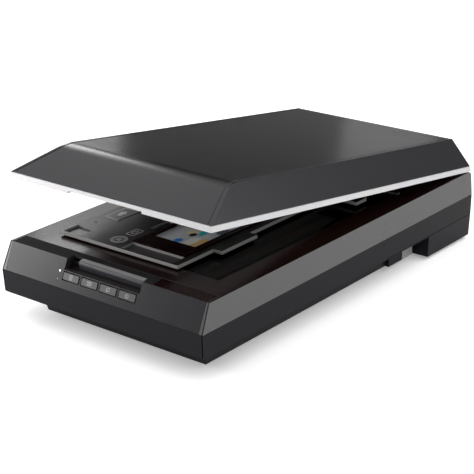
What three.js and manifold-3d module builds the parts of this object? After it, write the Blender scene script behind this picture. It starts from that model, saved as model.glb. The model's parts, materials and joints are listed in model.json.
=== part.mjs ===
// A flatbed photo scanner with its lid ajar and a film holder on the glass.
// Millimetres. +X is the operator's right, -Y the front, +Z up. The origin is on the surface the
// feet stand on, under the middle of the base.
import * as THREE from 'three';
import { mergeVertices } from 'three/addons/utils/BufferGeometryUtils.js';
import Module from 'manifold-3d';

const wasm = await Module();
wasm.setup();

// ---------------------------------------------------------------- driving dimensions
const GAP = 0.3; // clearance between neighbouring pieces
const HALF_WIDTH = 140; // base, at the seam between its two mouldings
const FRONT = -241; // front of the base at the seam
const REAR = 241;
const SEAM_Z = 54.3;
const TOP_Z = 82.7;
const WALL = 2.5;
const SIDE_LEAN = 1.8; // how far the side bands lean in between the seam and the top
const FRONT_LEAN = 13.4; // how far the front panel leans back over the same height

const SKIRT_Z = 29; // lower edge of the skirt round the base
const TUB_Z = 7.15; // underside of the tub that the scan unit runs in
const BLOCK_Z = 4; // underside of the rear block
const BLOCK_FRONT = 151;
const SKIRT_LEAN = 0.7; // how far the skirt tucks in below the seam
const TUB = { left: -108, right: 123, front: -219, slant: 5 }; // where it meets the skirt
const FEET = [
  { name: 'front_left', x: -80, y: -178, top: TUB_Z - GAP },
  { name: 'front_right', x: 88, y: -178, top: TUB_Z - GAP },
  { name: 'rear_left', x: -115, y: 205, top: BLOCK_Z - GAP },
  { name: 'rear_right', x: 115, y: 205, top: BLOCK_Z - GAP },
];

const GLASS = { halfWidth: 110, front: -181, rear: 124, top: 81.2, thickness: 2.2 };
const REAR_STOP_RISE = 1.6;
const STRIP_REAR = -208.6; // where the control strip meets the glass frame
const PANEL_HALF = 134.5; // half the width of the front panel between its corner strips
const INSERT_LEFT = 62; // left end of the glossy insert in the control strip

const NOTCH = { left: -53, right: 52, floor: 71.8, rear: -217.5 }; // finger notch
const GRIP = { left: -40, front: -224.6, low: 72.2 }; // rounded bar along the back of the notch
const BUTTON = {
  pitch: 26.1, middle: -1.9, width: 22.4, height: 8, slopeUp: 13.4, count: 4, reveal: 0.85,
  flangeAcross: 1.6, flangeUp: 1,
};
const INDICATORS = { spots: [[-58.7, 17.2], [-59.2, 8.6]], radius: 0.9 }; // x, and distance up the slope

const HINGE_ROUND = 5.95; // radius of the base's rear edge, which the lid swings round
const HINGE = { y: REAR - HINGE_ROUND, z: TOP_Z - HINGE_ROUND, x: 92 };
const LID_OPEN = THREE.MathUtils.degToRad(8.5); // how far the lid stands open

const LID = {
  rimZ: 83.2, shellZ: 89.4, topZ: 118, skin: 2.2, sidePanel: 2.5,
  lowHalf: 137.1, highHalf: 112.7, lowFront: -227.1, highFront: -172.6,
  lowRear: 237.9, highRear: 232.5, fold: 45, seam: 0.8, lipWall: 1.2, lipLap: 2,
};
const LAMP_WINDOW = { left: -19, right: 51, front: -150, rear: 90 };
const PANEL_Z = 91; // underside of the lid's panel that faces the glass
const PANEL_THICKNESS = 2;

const HOLDER = {
  left: -105, right: 61, front: -186.5, rear: 84, low: 84.2, high: 88.1, pocketFloor: 85.5,
  tab: { reach: 11, front: -131.5, rear: -74 }, // small step out on the right
  arm: { reach: 99.5, front: 65 }, // wide band at the rear
};
const FILM = { left: -14, right: 45, front: -141.5, rear: 46 };
const GROOVE = { inner: 1.9, outer: 0.5, depth: 2 }; // line moulded down each front corner

const ROD = { x: 16, z: 30, radius: 4 };
const CARRIAGE = { half: 112, front: 144, length: 60, low: 45, high: 75 };
const TRAY_FLOOR_Z = TUB_Z + WALL; // inside of the tub
const BLOCK_FLOOR_Z = BLOCK_Z + WALL; // inside of the rear block
const BELT = { x: -56, front: -200, rear: 214, radius: 7, low: 37.5, high: 41.5, thickness: 1 };
const PINION = { teeth: 14, gearTeeth: 56, module: 0.5, low: 33.2, high: 36.6 };

// ---------------------------------------------------------------- solids
function solidOf(geometry) {
  const bare = geometry.clone();
  bare.deleteAttribute('normal');
  bare.deleteAttribute('uv');
  const merged = mergeVertices(bare, 1e-4);
  return new wasm.Manifold(new wasm.Mesh({
    numProp: 3,
    vertProperties: new Float32Array(merged.attributes.position.array),
    triVerts: new Uint32Array(merged.index.array),
  }));
}

function box(x0, x1, y0, y1, z0, z1, place) {
  const geometry = new THREE.BoxGeometry(x1 - x0, y1 - y0, z1 - z0);
  geometry.translate((x0 + x1) / 2, (y0 + y1) / 2, (z0 + z1) / 2);
  if (place) geometry.applyMatrix4(place);
  return solidOf(geometry);
}

// A block whose rectangle changes from low to high: each is { x0, x1, y0, y1, z }.
function tapered(low, high) {
  const geometry = new THREE.BoxGeometry(1, 1, 1);
  const corners = geometry.attributes.position;
  for (let i = 0; i < corners.count; i += 1) {
    const end = corners.getZ(i) > 0 ? high : low;
    const x = corners.getX(i) > 0 ? end.x1 : end.x0;
    const y = corners.getY(i) > 0 ? end.y1 : end.y0;
    corners.setXYZ(i, x, y, end.z);
  }
  return solidOf(geometry);
}

function extruded(shape, depth, basis, offset) {
  const geometry = new THREE.ExtrudeGeometry(shape, { depth, bevelEnabled: false, curveSegments: 24 });
  const place = new THREE.Matrix4().makeBasis(...basis);
  place.setPosition(...offset);
  geometry.applyMatrix4(place);
  return solidOf(geometry);
}

const X_AXIS = new THREE.Vector3(1, 0, 0);
const Y_AXIS = new THREE.Vector3(0, 1, 0);
const Z_AXIS = new THREE.Vector3(0, 0, 1);

// An outline in the (y, z) plane run from x0 to x1.
function alongX(shape, x0, x1) {
  return extruded(shape, x1 - x0, [Y_AXIS, Z_AXIS, X_AXIS], [x0, 0, 0]);
}

// An outline in the (x, y) plane run from z0 to z1.
function alongZ(shape, z0, z1) {
  return extruded(shape, z1 - z0, [X_AXIS, Y_AXIS, Z_AXIS], [0, 0, z0]);
}

function outline(points) {
  return new THREE.Shape(points.map(([a, b]) => new THREE.Vector2(a, b)));
}

// A round bar about one axis: centre is its middle, length runs along the axis.
function bar(axis, radius, length, centre, sides = 24, place = null) {
  const geometry = new THREE.CylinderGeometry(radius, radius, length, sides);
  if (axis === 'x') geometry.rotateZ(Math.PI / 2);
  if (axis === 'z') geometry.rotateX(Math.PI / 2);
  geometry.translate(...centre);
  if (place) geometry.applyMatrix4(place);
  return solidOf(geometry);
}

// A turned piece about the vertical through (x, y): the profile is [radius, z] pairs.
function turned(profile, x, y, sides = 32) {
  const points = profile.map(([r, z]) => new THREE.Vector2(r, z));
  const geometry = new THREE.LatheGeometry(points, sides);
  geometry.rotateX(Math.PI / 2);
  geometry.translate(x, y, 0);
  return solidOf(geometry);
}

function cut(solid, ...tools) {
  return tools.reduce((left, tool) => left.subtract(tool), solid);
}

function join(solid, ...others) {
  return others.reduce((sum, other) => sum.add(other), solid);
}

// ---------------------------------------------------------------- scene graph
const scanner = new THREE.Group();

const slopeAngle = Math.atan2(TOP_Z - SEAM_Z, FRONT_LEAN);
const slope = new THREE.Group(); // x across, y up the front slope, z out of it
slope.position.set(0, FRONT, SEAM_Z);
slope.rotation.x = slopeAngle;
slope.updateMatrix();
scanner.add(slope);

const lid = new THREE.Group(); // lid pieces are drawn shut, then turned about the hinge pins
lid.position.set(0, HINGE.y, HINGE.z);
lid.rotation.x = -LID_OPEN;
scanner.add(lid);

function finish(colour, roughness, metalness = 0) {
  return { color: colour, roughness, metalness };
}

const SATIN_GREY = finish(0x55565a, 0.5);
const SIDE_GREY = finish(0x77787a, 0.45);
const CHARCOAL = finish(0x2b2c30, 0.55);
const GLOSS_BLACK = finish(0x17100f, 0.12);
const LID_CHARCOAL = finish(0x3c3d42, 0.6);
const RIM_WHITE = finish(0xe9ebec, 0.4);
const BLACK = finish(0x151515, 0.6);
const GLASS_CLEAR = finish(0x9fb0b4, 0.05);
const LENS_CLEAR = finish(0xdfe6e8, 0.2);
const STEEL = finish(0xb5b8ba, 0.3, 1);
const BRASS = finish(0xb08a3c, 0.35, 1);
const NYLON = finish(0xdcd9cc, 0.5);
const RUBBER = finish(0x202020, 0.9);
const BOARD_GREEN = finish(0x1f5a37, 0.5);
const SWITCH_GREY = finish(0x9b9c9e, 0.5);
const RIBBON_WHITE = finish(0xd8d8d2, 0.5);
const FILM_TINT = finish(0x6f8796, 0.3);

function addPart(name, solid, material, parent = scanner) {
  const mesh = solid.getMesh();
  const geometry = new THREE.BufferGeometry();
  geometry.setAttribute('position', new THREE.BufferAttribute(mesh.vertProperties, 3));
  geometry.setIndex(new THREE.BufferAttribute(mesh.triVerts, 1));
  const part = new THREE.Mesh(geometry, new THREE.MeshStandardMaterial(material));
  part.name = name;
  if (parent === lid) part.position.set(0, -HINGE.y, -HINGE.z);
  parent.add(part);
}

// ---------------------------------------------------------------- base mouldings
function blockOf(halfWidth, y0, y1, z) {
  return { x0: -halfWidth, x1: halfWidth, y0, y1, z };
}

const LOCK = { inner: 119.8, face: 123, front: 94, rear: 141.4, tabFront: 121, tabTop: 19 };
const PORTS = [
  { name: 'dc_inlet', x: 46, low: 14.5, width: 12, height: 12 },
  { name: 'usb_port', x: 70, low: 14.5, width: 13, height: 12 },
  { name: 'option_port', x: 98, low: 14.5, width: 17, height: 11 },
];

function baseTray() {
  const inX = HALF_WIDTH - SKIRT_LEAN;
  const inFront = FRONT + SKIRT_LEAN;
  const inRear = REAR - SKIRT_LEAN;
  const skirt = tapered({ x0: -inX, x1: inX, y0: inFront, y1: inRear, z: SKIRT_Z },
    blockOf(HALF_WIDTH, FRONT, REAR, SEAM_Z - GAP / 2));
  const { left, right, front, slant } = TUB;
  const rear = BLOCK_FRONT + 9;
  const tub = tapered({ x0: left + slant, x1: right - slant, y0: front + slant, y1: rear, z: TUB_Z },
    { x0: left, x1: right, y0: front, y1: rear, z: SKIRT_Z + 1 });
  const block = tapered(blockOf(inX - 1.3, BLOCK_FRONT, inRear - 1.3, BLOCK_Z),
    blockOf(inX, BLOCK_FRONT, inRear, SKIRT_Z + 1));
  const lockBlock = box(100, LOCK.face, LOCK.front, LOCK.rear, TUB_Z, SKIRT_Z + 1);
  const skirtRoom = box(-136.8, 136.8, FRONT + 3.5, REAR - 3.5, SKIRT_Z + WALL, SEAM_Z + 1);
  const inside = WALL + 0.5;
  const tubRoom = tapered({ x0: left + slant + inside, x1: right - slant - inside,
    y0: front + slant + inside, y1: BLOCK_FRONT + 4, z: TRAY_FLOOR_Z },
  { x0: left + inside, x1: right - inside - 0.5, y0: front + inside, y1: BLOCK_FRONT + 4,
    z: SKIRT_Z + WALL + 1 });
  const blockRoom = box(-135.2, 135.2, BLOCK_FRONT + WALL, REAR - 4.5, BLOCK_FLOOR_Z, SKIRT_Z + WALL + 1);
  const lockPocket = box(LOCK.inner - GAP, LOCK.face + 1, LOCK.tabFront - GAP, BLOCK_FRONT - 1.5,
    TUB_Z - 1, LOCK.tabTop + GAP);
  const doorways = PORTS.map((port) => box(
    port.x - port.width / 2 - GAP, port.x + port.width / 2 + GAP, 230, 245,
    port.low - GAP, port.low + port.height + GAP));
  const grooves = [-1, 1].map((side) => cornerGroove(side,
    { half: inX, front: inFront, z: SKIRT_Z - 1 }, { half: HALF_WIDTH, front: FRONT, z: SEAM_Z + 1 }));
  const sideLines = [-HALF_WIDTH - 1, HALF_WIDTH - 1.6].map((x) => box(
    x, x + 2.6, 66, REAR + 1, SKIRT_Z + 0.6, SKIRT_Z + 1.2));
  const shell = join(skirt, tub, block, lockBlock);
  return cut(shell, skirtRoom, tubRoom, blockRoom, lockPocket, ...sideLines, ...doorways, ...grooves);
}

// The line moulded down a front corner, between a low and a high { half, front, z } on its edge.
function cornerGroove(side, low, high) {
  const at = ({ half, front, z }) => {
    const edges = [half - GROOVE.inner, half - GROOVE.outer].map((x) => side * x);
    return { x0: Math.min(...edges), x1: Math.max(...edges), y0: front - 2, y1: front + GROOVE.depth, z };
  };
  return tapered(at(low), at(high));
}

// Everything behind and above the base's rounded rear edge.
function rearEdgeWaste() {
  const shape = new THREE.Shape();
  shape.moveTo(HINGE.y, TOP_Z);
  shape.absarc(HINGE.y, HINGE.z, HINGE_ROUND, Math.PI / 2, 0, true);
  shape.lineTo(REAR + 3, HINGE.z);
  shape.lineTo(REAR + 3, TOP_Z + 3);
  shape.lineTo(HINGE.y, TOP_Z + 3);
  return alongX(shape, -150, 150);
}

const HINGE_BAY = { half: 12.2, front: 227.3, low: 71 };

function hingeBay(x) {
  return box(x - HINGE_BAY.half, x + HINGE_BAY.half, HINGE_BAY.front, REAR + 4, HINGE_BAY.low, TOP_Z + 1);
}

function upperCover() {
  const lean = (inset, z, floor) => blockOf(
    HALF_WIDTH - inset - SIDE_LEAN * floor, FRONT + inset + FRONT_LEAN * floor, REAR - inset, z);
  const outside = tapered(lean(0, SEAM_Z + GAP / 2, 0), lean(0, TOP_Z, 1));
  const roof = TOP_Z - WALL;
  const share = (roof - SEAM_Z) / (TOP_Z - SEAM_Z);
  const inside = tapered(lean(WALL, SEAM_Z - 1, 0), lean(WALL, roof, share));
  const frontBay = box(-PANEL_HALF - GAP, PANEL_HALF + GAP, FRONT - 5, STRIP_REAR, SEAM_Z - 1, TOP_Z + 1);
  const grooves = [-1, 1].map((side) => cornerGroove(side,
    { half: HALF_WIDTH, front: FRONT, z: SEAM_Z },
    { half: HALF_WIDTH - SIDE_LEAN, front: FRONT + FRONT_LEAN, z: TOP_Z + 0.1 }));
  const window = box(-GLASS.halfWidth, GLASS.halfWidth, GLASS.front, GLASS.rear, 70, TOP_Z + 1);
  const seat = box(-GLASS.halfWidth - 4.3, GLASS.halfWidth + 4.3, GLASS.front - 4.3, GLASS.rear + 4.3,
    70, GLASS.top + GAP);
  const bays = [-1, 1].map((side) => hingeBay(side * HINGE.x));
  const cover = cut(outside, inside, frontBay, ...grooves, window, seat, rearEdgeWaste(), ...bays);
  return join(cover, rearStop());
}

// The low step behind the glass that the holder and originals are set square against.
function rearStop() {
  return box(-114, 114, GLASS.rear, GLASS.rear + 4, TOP_Z - 0.5, TOP_Z + REAR_STOP_RISE);
}

function platenGlass() {
  return box(-GLASS.halfWidth - 4, GLASS.halfWidth + 4, GLASS.front - 4, GLASS.rear + 4,
    GLASS.top - GLASS.thickness, GLASS.top);
}

// ---------------------------------------------------------------- front panel and controls
const slopeDirection = new THREE.Vector2(FRONT_LEAN, TOP_Z - SEAM_Z).normalize(); // y, z
const slopeBack = WALL / slopeDirection.y; // the panel's thickness measured along Y

function insertOutline(margin) {
  const shape = new THREE.Shape();
  const front = FRONT + FRONT_LEAN + 1.4 + margin;
  const rear = STRIP_REAR - GAP - 0.4 - margin;
  const left = INSERT_LEFT + margin;
  shape.moveTo(left + 1.8, front);
  shape.quadraticCurveTo(left + 1.2, (front + rear) / 2, left - 1.6, rear);
  shape.lineTo(PANEL_HALF - 1.2 - margin, rear);
  shape.lineTo(PANEL_HALF - 1.2 - margin, front);
  return shape;
}

function frontPanel() {
  const foot = SEAM_Z + GAP / 2;
  const yAt = (z) => FRONT + (z - SEAM_Z) * (FRONT_LEAN / (TOP_Z - SEAM_Z));
  const section = outline([
    [yAt(foot), foot], [yAt(foot) + slopeBack, foot],
    [yAt(TOP_Z - WALL) + slopeBack, TOP_Z - WALL], [STRIP_REAR - GAP, TOP_Z - WALL],
    [STRIP_REAR - GAP, TOP_Z], [yAt(TOP_Z), TOP_Z],
  ]);
  const notch = box(NOTCH.left, NOTCH.right, FRONT - 2, NOTCH.rear, NOTCH.floor, TOP_Z + 1);
  const windows = buttonCentres().map((x) => box(
    x - BUTTON.width / 2 - BUTTON.reveal, x + BUTTON.width / 2 + BUTTON.reveal,
    BUTTON.slopeUp - BUTTON.height / 2 - BUTTON.reveal, BUTTON.slopeUp + BUTTON.height / 2 + BUTTON.reveal,
    -WALL - 1, 1, slope.matrix));
  const lightHoles = INDICATORS.spots.map(([x, up]) => bar(
    'z', INDICATORS.radius + GAP, 8, [x, up, 0], 16, slope.matrix));
  const insertSeat = alongZ(insertOutline(0), TOP_Z - 1.5, TOP_Z + 1);
  const dimples = [-30, -18, 36].map((x) => bar('z', 2, 3, [x, -213.4, TOP_Z + 0.5], 12));
  return cut(alongX(section, -PANEL_HALF, PANEL_HALF), notch, ...windows, ...lightHoles,
    insertSeat, ...dimples);
}

function glossInsert() {
  return alongZ(insertOutline(GAP), TOP_Z - 1.2, TOP_Z);
}

const BAR_SEAT_Z = 77.6; // where the grip bar hangs over the back of its recess

function gripRecess() {
  const outer = box(NOTCH.left + GAP, NOTCH.right - GAP, -233, NOTCH.rear - GAP, 70.2, TOP_Z - 2);
  const hollow = box(NOTCH.left + 2, NOTCH.right - 2, -240, NOTCH.rear - 2, NOTCH.floor, TOP_Z + 1);
  const barSeat = box(NOTCH.left + 2, NOTCH.right - 2, -240, NOTCH.rear + 1, BAR_SEAT_Z, TOP_Z + 1);
  const inFront = box(-80, 80, -10, 60, -WALL - GAP, 40, slope.matrix);
  return cut(outer, hollow, barSeat, inFront);
}

// A rounded bar hung on the back of the notch: nearly flat on top, curving down in front.
function gripBar() {
  const back = NOTCH.rear - GAP;
  const shape = new THREE.Shape();
  shape.moveTo(back, TOP_Z - 0.2);
  shape.lineTo(GRIP.front + 2.6, TOP_Z - 0.9);
  shape.quadraticCurveTo(GRIP.front, TOP_Z - 1.6, GRIP.front, TOP_Z - 4.6);
  shape.lineTo(GRIP.front + 0.9, GRIP.low);
  shape.lineTo(NOTCH.rear - 2 - GAP, GRIP.low);
  shape.lineTo(NOTCH.rear - 2 - GAP, BAR_SEAT_Z + GAP);
  shape.lineTo(back, BAR_SEAT_Z + GAP);
  return alongX(shape, GRIP.left, NOTCH.right - 2 - GAP);
}

function buttonCentres() {
  return Array.from({ length: BUTTON.count },
    (_, i) => BUTTON.middle + (i - (BUTTON.count - 1) / 2) * BUTTON.pitch);
}

// Drawn in the front slope's own frame: the cap, and the flange that keeps it in its window.
function button(x) {
  const halfWidth = BUTTON.width / 2;
  const low = BUTTON.slopeUp - BUTTON.height / 2;
  const high = BUTTON.slopeUp + BUTTON.height / 2;
  const cap = tapered({ x0: x - halfWidth, x1: x + halfWidth, y0: low, y1: high, z: -3.4 },
    { x0: x - halfWidth + 0.2, x1: x + halfWidth - 0.2, y0: low + 0.2, y1: high - 0.2, z: 0.5 });
  const flange = box(x - halfWidth - BUTTON.flangeAcross, x + halfWidth + BUTTON.flangeAcross,
    low - BUTTON.flangeUp, high + BUTTON.flangeUp, -4, -WALL - GAP);
  return join(cap, flange);
}

// One clear light pipe with a head behind each indicator hole.
function indicatorLens() {
  const heads = INDICATORS.spots.map(([x, up]) => bar('z', INDICATORS.radius, 4, [x, up, -1.9], 16));
  const back = box(-61, -57, 6, 20, -5.5, -WALL - GAP);
  return join(back, ...heads);
}

function panelBoard() {
  const board = box(-62, 56, 5, 15.5, -9.2, -7.6);
  const switches = buttonCentres().map((x) => box(x - 3, x + 3, 8.4, 14.4, -7.7, -5.4));
  return join(board, ...switches);
}

// ---------------------------------------------------------------- fittings of the base
function transportLock() {
  const tab = box(LOCK.inner, LOCK.face + GAP, LOCK.tabFront, LOCK.rear - GAP, TUB_Z + GAP, LOCK.tabTop);
  const ribs = [0, 1, 2].map((i) => box(
    LOCK.face, LOCK.face + 0.9, 126 + i * 4.5, 127.5 + i * 4.5, 10, 16.5));
  return join(tab, ...ribs);
}

function foot(x, y, top) {
  return turned([[0, 0], [6.6, 0], [7.4, 0.8], [8, top], [0, top]], x, y, 24);
}

function hingeSocket(side) {
  const x = side * HINGE.x;
  const block = box(x - 14.5, x + 14.5, 225.4, 237.2, 34, TOP_Z - WALL - GAP);
  const bore = box(x - 8.9, x + 8.9, 228.6, 235.9, 36, 75);
  return cut(block, hingeBay(x), bore);
}

function portHousing(port) {
  const half = port.width / 2;
  const shell = box(port.x - half, port.x + half, 226, 240.2, port.low, port.low + port.height);
  const mouth = box(port.x - half + 1.5, port.x + half - 1.5, 229, 242, port.low + 1.5,
    port.low + port.height - 1.5);
  if (port.name === 'dc_inlet') {
    const pin = bar('y', 1.2, 5, [port.x, 230.8, port.low + port.height / 2], 12);
    const round = bar('y', 4.3, 14, [port.x, 236, port.low + port.height / 2], 24);
    return join(cut(shell, round), pin);
  }
  const tongueZ = port.low + port.height / 2;
  const tongue = box(port.x - half + 3.5, port.x + half - 3.5, 228, 232, tongueZ - 1.2, tongueZ + 1.2);
  return join(cut(shell, mouth), tongue);
}

function mainBoard() {
  const board = box(32, 114, 166, 225.4, 11.6, 13.2);
  const chips = [[44, 176, 14], [66, 186, 18], [88, 180, 12]].map(([x, y, size]) => box(
    x, x + size, y, y + size, 13.1, 15));
  const capacitors = [40, 54].map((x) => bar('z', 3.5, 9, [x, 212, 17.5], 12));
  return join(board, ...chips, ...capacitors);
}

function flatCable() {
  const floor = TRAY_FLOOR_Z + GAP;
  return box(100, 112, -20, 158, floor, floor + 0.4);
}

// ---------------------------------------------------------------- scan unit drive
function guideRod() {
  return bar('y', ROD.radius, 430, [ROD.x, 9, ROD.z], 20);
}

function rodSupport(y, floor) {
  const block = box(ROD.x - 9, ROD.x + 9, y - 4, y + 4, floor + GAP, ROD.z + 7);
  const bore = bar('y', ROD.radius + GAP, 12, [ROD.x, y, ROD.z], 20);
  return cut(block, bore);
}

function slideRail() {
  return box(-124, -116, -210, 214, SKIRT_Z + WALL + GAP, 37);
}

function carriageHousing() {
  const { half, front, length, low, high } = CARRIAGE;
  const shell = box(-half, half, front, front + length, low, high);
  const room = box(-half + WALL, half - WALL, front + WALL, front + length - WALL, low + WALL, high + 1);
  const runner = box(-123, -half + 1, front + 22, front + 38, 37 + GAP, 52);
  const lightSlot = box(-100, 100, front - 1, front + 4, high - 5, high + 1);
  return cut(join(shell, runner), room, lightSlot);
}

function scanLamp() {
  const { front, high } = CARRIAGE;
  const section = outline([
    [front + 5, high - 9], [front + 13, high - 9], [front + 13, high - 2],
    [front + 9, high - 1], [front + 5, high - 4],
  ]);
  return alongX(section, -106, 106);
}

function foldMirror(y, z, tilt, half) {
  const place = new THREE.Matrix4().makeRotationX(tilt).setPosition(0, y, z);
  return box(-half, half, -7, 7, -1, 1, place);
}

function lensBarrel() {
  const y = CARRIAGE.front + 34;
  const z = 58;
  const tube = bar('y', 8, 16, [0, y, z], 24);
  const bore = bar('y', 5.5, 6, [0, y - 6, z], 24);
  const saddle = box(-10, 10, y - 5, y + 5, CARRIAGE.low + WALL + GAP, z - 3);
  return join(cut(tube, bore), saddle);
}

function sensorBoard() {
  const y = CARRIAGE.front + 52;
  const board = box(-40, 40, y, y + 1.6, 49, 71);
  const sensor = box(-24, 24, y - 2.6, y + 0.1, 54, 61);
  return join(board, sensor);
}

function rodBush() {
  const y0 = CARRIAGE.front + 6;
  const y1 = CARRIAGE.front + CARRIAGE.length - 6;
  const block = box(ROD.x - 8, ROD.x + 8, y0, y1, ROD.z - 7, CARRIAGE.low - GAP);
  const bore = bar('y', ROD.radius + GAP, 60, [ROD.x, (y0 + y1) / 2, ROD.z], 20);
  const waist = box(ROD.x - 9, ROD.x + 9, y0 + 12, y1 - 12, ROD.z - 8, ROD.z + 6);
  return cut(block, bore, waist);
}

function beltClamp() {
  const run = BELT.x + BELT.radius;
  const y = CARRIAGE.front + CARRIAGE.length / 2;
  const block = box(run - 4, run + 5, y - 8, y + 8, BELT.low - 1.4, CARRIAGE.low - GAP);
  const slot = box(run - GAP, run + BELT.thickness + GAP, y - 9, y + 9, BELT.low - 2, BELT.high + GAP);
  return cut(block, slot);
}

function beltLoop(radius) {
  const shape = new THREE.Shape();
  shape.absarc(BELT.x, BELT.front, radius, Math.PI, 2 * Math.PI, false);
  shape.absarc(BELT.x, BELT.rear, radius, 0, Math.PI, false);
  return shape;
}

function driveBelt() {
  const outer = alongZ(beltLoop(BELT.radius + BELT.thickness), BELT.low, BELT.high);
  return cut(outer, alongZ(beltLoop(BELT.radius), BELT.low - 1, BELT.high + 1));
}

// A spur gear about the vertical through (x, y); turn is the angle of its first tooth.
function spurGear(teeth, x, y, turn) {
  const pitchRadius = (PINION.module * teeth) / 2;
  const step = (2 * Math.PI) / teeth;
  const rootRadius = pitchRadius - PINION.module * 1.25;
  const tipRadius = pitchRadius + PINION.module * 0.8;
  const points = [];
  for (let i = 0; i < teeth; i += 1) {
    const middle = turn + i * step;
    const corners = [[rootRadius, -0.27], [tipRadius, -0.1], [tipRadius, 0.1], [rootRadius, 0.27]];
    corners.forEach(([radius, share]) => {
      const angle = middle + share * step;
      points.push([x + radius * Math.cos(angle), y + radius * Math.sin(angle)]);
    });
  }
  return alongZ(outline(points), PINION.low, PINION.high);
}

const gearRadius = (PINION.module * PINION.gearTeeth) / 2;
const pinionRadius = (PINION.module * PINION.teeth) / 2;
const MOTOR_X = BELT.x + gearRadius + pinionRadius + 0.1;

// The reduction gear and the belt pulley are one moulding.
function driveGear() {
  const gear = spurGear(PINION.gearTeeth, BELT.x, BELT.rear, 0);
  const hub = BELT.radius - GAP;
  const pulley = turned([
    [0, PINION.high - 1], [hub + 1.6, PINION.high - 1], [hub + 1.6, BELT.low - GAP], [hub, BELT.low - GAP],
    [hub, BELT.high + GAP], [hub + 1.2, BELT.high + GAP], [hub + 1.2, BELT.high + 1.4], [0, BELT.high + 1.4],
  ], BELT.x, BELT.rear, 28);
  return cut(join(gear, pulley), bar('z', 2.3, 30, [BELT.x, BELT.rear, 38], 16));
}

function motorPinion() {
  const step = Math.PI / PINION.teeth;
  const gear = spurGear(PINION.teeth, MOTOR_X, BELT.rear, Math.PI + step);
  return cut(gear, bar('z', 1.3, 30, [MOTOR_X, BELT.rear, 38], 12));
}

function motor() {
  const can = turned([[0, 9], [16, 9], [17.5, 10.5], [17.5, 29.4], [0, 29.4]], MOTOR_X, BELT.rear, 28);
  const boss = bar('z', 5, 3, [MOTOR_X, BELT.rear, 30.6], 20);
  const shaft = bar('z', 1, 10, [MOTOR_X, BELT.rear, 31.6], 12);
  return join(can, boss, shaft);
}

function motorBracket() {
  const left = BELT.x - 18;
  const right = MOTOR_X + 21;
  const plate = box(left, right, 192, 235, 30, 31.4);
  const floor = BLOCK_FLOOR_Z + GAP;
  const legs = [left, right - 1.4].map((x) => box(x, x + 1.4, 200, 230, floor, 31));
  const bossHole = bar('z', 5.4, 8, [MOTOR_X, BELT.rear, 31], 20);
  const axle = bar('z', 2, 14, [BELT.x, BELT.rear, 37.5], 16);
  return join(cut(join(plate, ...legs), bossHole), axle);
}

function idlerPulley() {
  const hub = BELT.radius - GAP;
  const profile = [
    [2.3, BELT.low - 1.6], [hub + 1.2, BELT.low - 1.6], [hub + 1.2, BELT.low - GAP], [hub, BELT.low - GAP],
    [hub, BELT.high + GAP], [hub + 1.2, BELT.high + GAP], [hub + 1.2, BELT.high + 1.6],
    [2.3, BELT.high + 1.6], [2.3, BELT.low - 1.6],
  ];
  return turned(profile, BELT.x, BELT.front, 28);
}

function idlerBracket() {
  const floor = TRAY_FLOOR_Z + GAP;
  const post = box(BELT.x - 7, BELT.x + 7, BELT.front - 6, BELT.front + 6, floor, BELT.low - 2.2);
  const axle = bar('z', 2, 14, [BELT.x, BELT.front, BELT.low + 1], 16);
  const tab = box(BELT.x - 2, BELT.x + 2, BELT.front + 5, BELT.front + 12, 24, 26);
  return join(post, axle, tab);
}

// A close helix along Y that pulls the idler forward to tension the belt.
function beltSpring() {
  class Helix extends THREE.Curve {
    getPoint(t, target = new THREE.Vector3()) {
      const turn = t * 8 * 2 * Math.PI;
      return target.set(BELT.x + 3 * Math.cos(turn), -186 + t * 18, 20 + 3 * Math.sin(turn));
    }
  }
  const section = new THREE.Shape();
  section.absarc(0, 0, 0.6, 0, 2 * Math.PI, false);
  const wire = new THREE.ExtrudeGeometry(section, {
    steps: 64, curveSegments: 3, bevelEnabled: false, extrudePath: new Helix(),
  });
  return solidOf(wire);
}

// ---------------------------------------------------------------- hinges and lid
function hingePost(side) {
  const x = side * HINGE.x;
  const post = box(x - 8.5, x + 8.5, 228.9, 235.6, 36.3, 71);
  const neck = box(x - 6.6, x + 6.6, 231.5, 235.6, 70, HINGE.z);
  const knuckle = bar('x', 3.9, 13.2, [x, HINGE.y, HINGE.z], 20);
  const pinHole = bar('x', 2.2, 20, [x, HINGE.y, HINGE.z], 16);
  return cut(join(post, neck, knuckle), pinHole);
}

// Two cheeks on one foot under the lid, with the pin that turns in the post's knuckle.
function hingeArm(side) {
  const x = side * HINGE.x;
  const cheeks = [-10, 7].map((edge) => {
    const eye = bar('x', 3.6, 3, [x + edge + 1.5, HINGE.y, HINGE.z], 20);
    const arm = box(x + edge, x + edge + 3, 231.6, 235.2, HINGE.z, 90.7);
    return join(eye, arm);
  });
  const sole = box(x - 10, x + 10, 206, 235.2, 88.8, 90.7);
  const pin = bar('x', 1.8, 18, [x, HINGE.y, HINGE.z], 16);
  return join(sole, ...cheeks, pin);
}

const lidAngle = Math.atan2(LID.topZ - LID.shellZ, LID.highFront - LID.lowFront);

// The lid's long section, each face moved in by inset: front slope, large soft fold, top and rear.
function lidSection(inset, lowZ) {
  const top = LID.topZ - inset;
  const frontShift = inset / Math.sin(lidAngle);
  const frontAt = (z) => LID.lowFront + frontShift + (z - LID.shellZ) / Math.tan(lidAngle);
  const rearAt = (z) => LID.lowRear - inset
    - ((z - LID.shellZ) / (LID.topZ - LID.shellZ)) * (LID.lowRear - LID.highRear);
  const centre = [LID.highFront + LID.fold * Math.tan(lidAngle / 2), LID.topZ - LID.fold];
  const shape = new THREE.Shape();
  shape.moveTo(rearAt(lowZ), lowZ);
  shape.lineTo(frontAt(lowZ), lowZ);
  shape.absarc(...centre, LID.fold - inset, Math.PI / 2 + lidAngle, Math.PI / 2, true);
  shape.lineTo(rearAt(top), top);
  return shape;
}

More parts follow.
